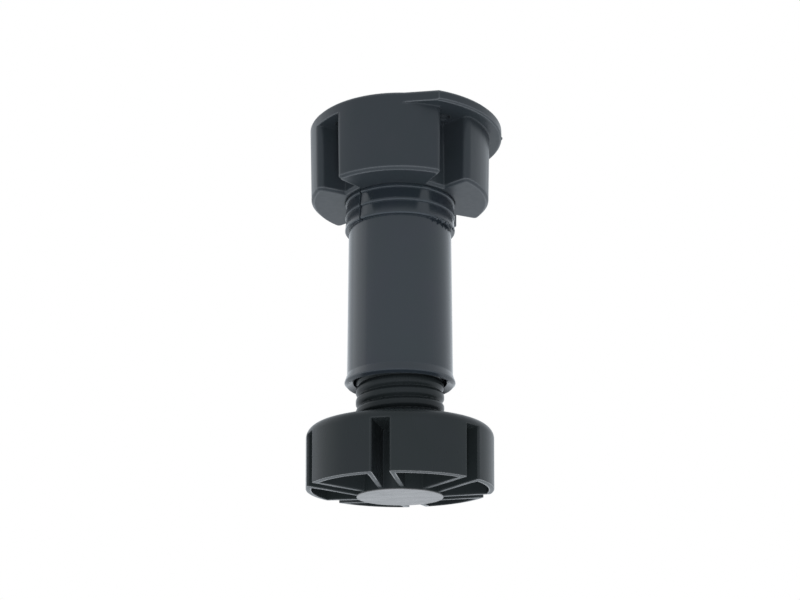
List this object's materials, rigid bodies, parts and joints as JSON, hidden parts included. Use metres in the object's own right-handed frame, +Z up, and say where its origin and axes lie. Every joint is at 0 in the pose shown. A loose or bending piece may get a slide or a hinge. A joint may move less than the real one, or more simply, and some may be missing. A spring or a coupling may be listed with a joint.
{
  "type": "adjustable cabinet leg",
  "caption": "Plastic cabinet leg: lobed screw-on head with a flange, smooth tube plugged into its socket, and a lobed levelling foot on a screw stem.",
  "frame": {"origin": "centre of the foot's hub face, on the leg's axis, where the leg stands on the floor", "axes": "+Z up along the leg's axis to the head; +X towards the middle of the head's flange"},
  "size_m": [0.0584, 0.0548, 0.1127],
  "materials": {
    "head_plastic": "black moulded plastic with a fine spark-eroded grain",
    "tube_plastic": "dark slate grey plastic, smooth and satin",
    "foot_plastic": "black moulded plastic, semi-gloss"
  },
  "bodies": {
    "head": {"mounting_head": "head_plastic"},
    "tube": {"leg_tube": "tube_plastic"},
    "foot": {"adjusting_foot": "foot_plastic"}
  },
  "joints": [
    {"name": "tube_turn", "type": "hinge", "parent": "head", "child": "tube", "pos_m": [0, 0, 0.08], "axis": [0, 0, 1], "range_deg": [-1395, 1620]},
    {"name": "foot_extend", "type": "slide", "parent": "head", "child": "foot", "axis": [0, 0, -1], "range_m": [-0.01241, 0.01441]}
  ],
  "couplings": [
    {"joint": "foot_extend", "follows": "tube_turn", "m_per_rad": 0.0005093}
  ]
}
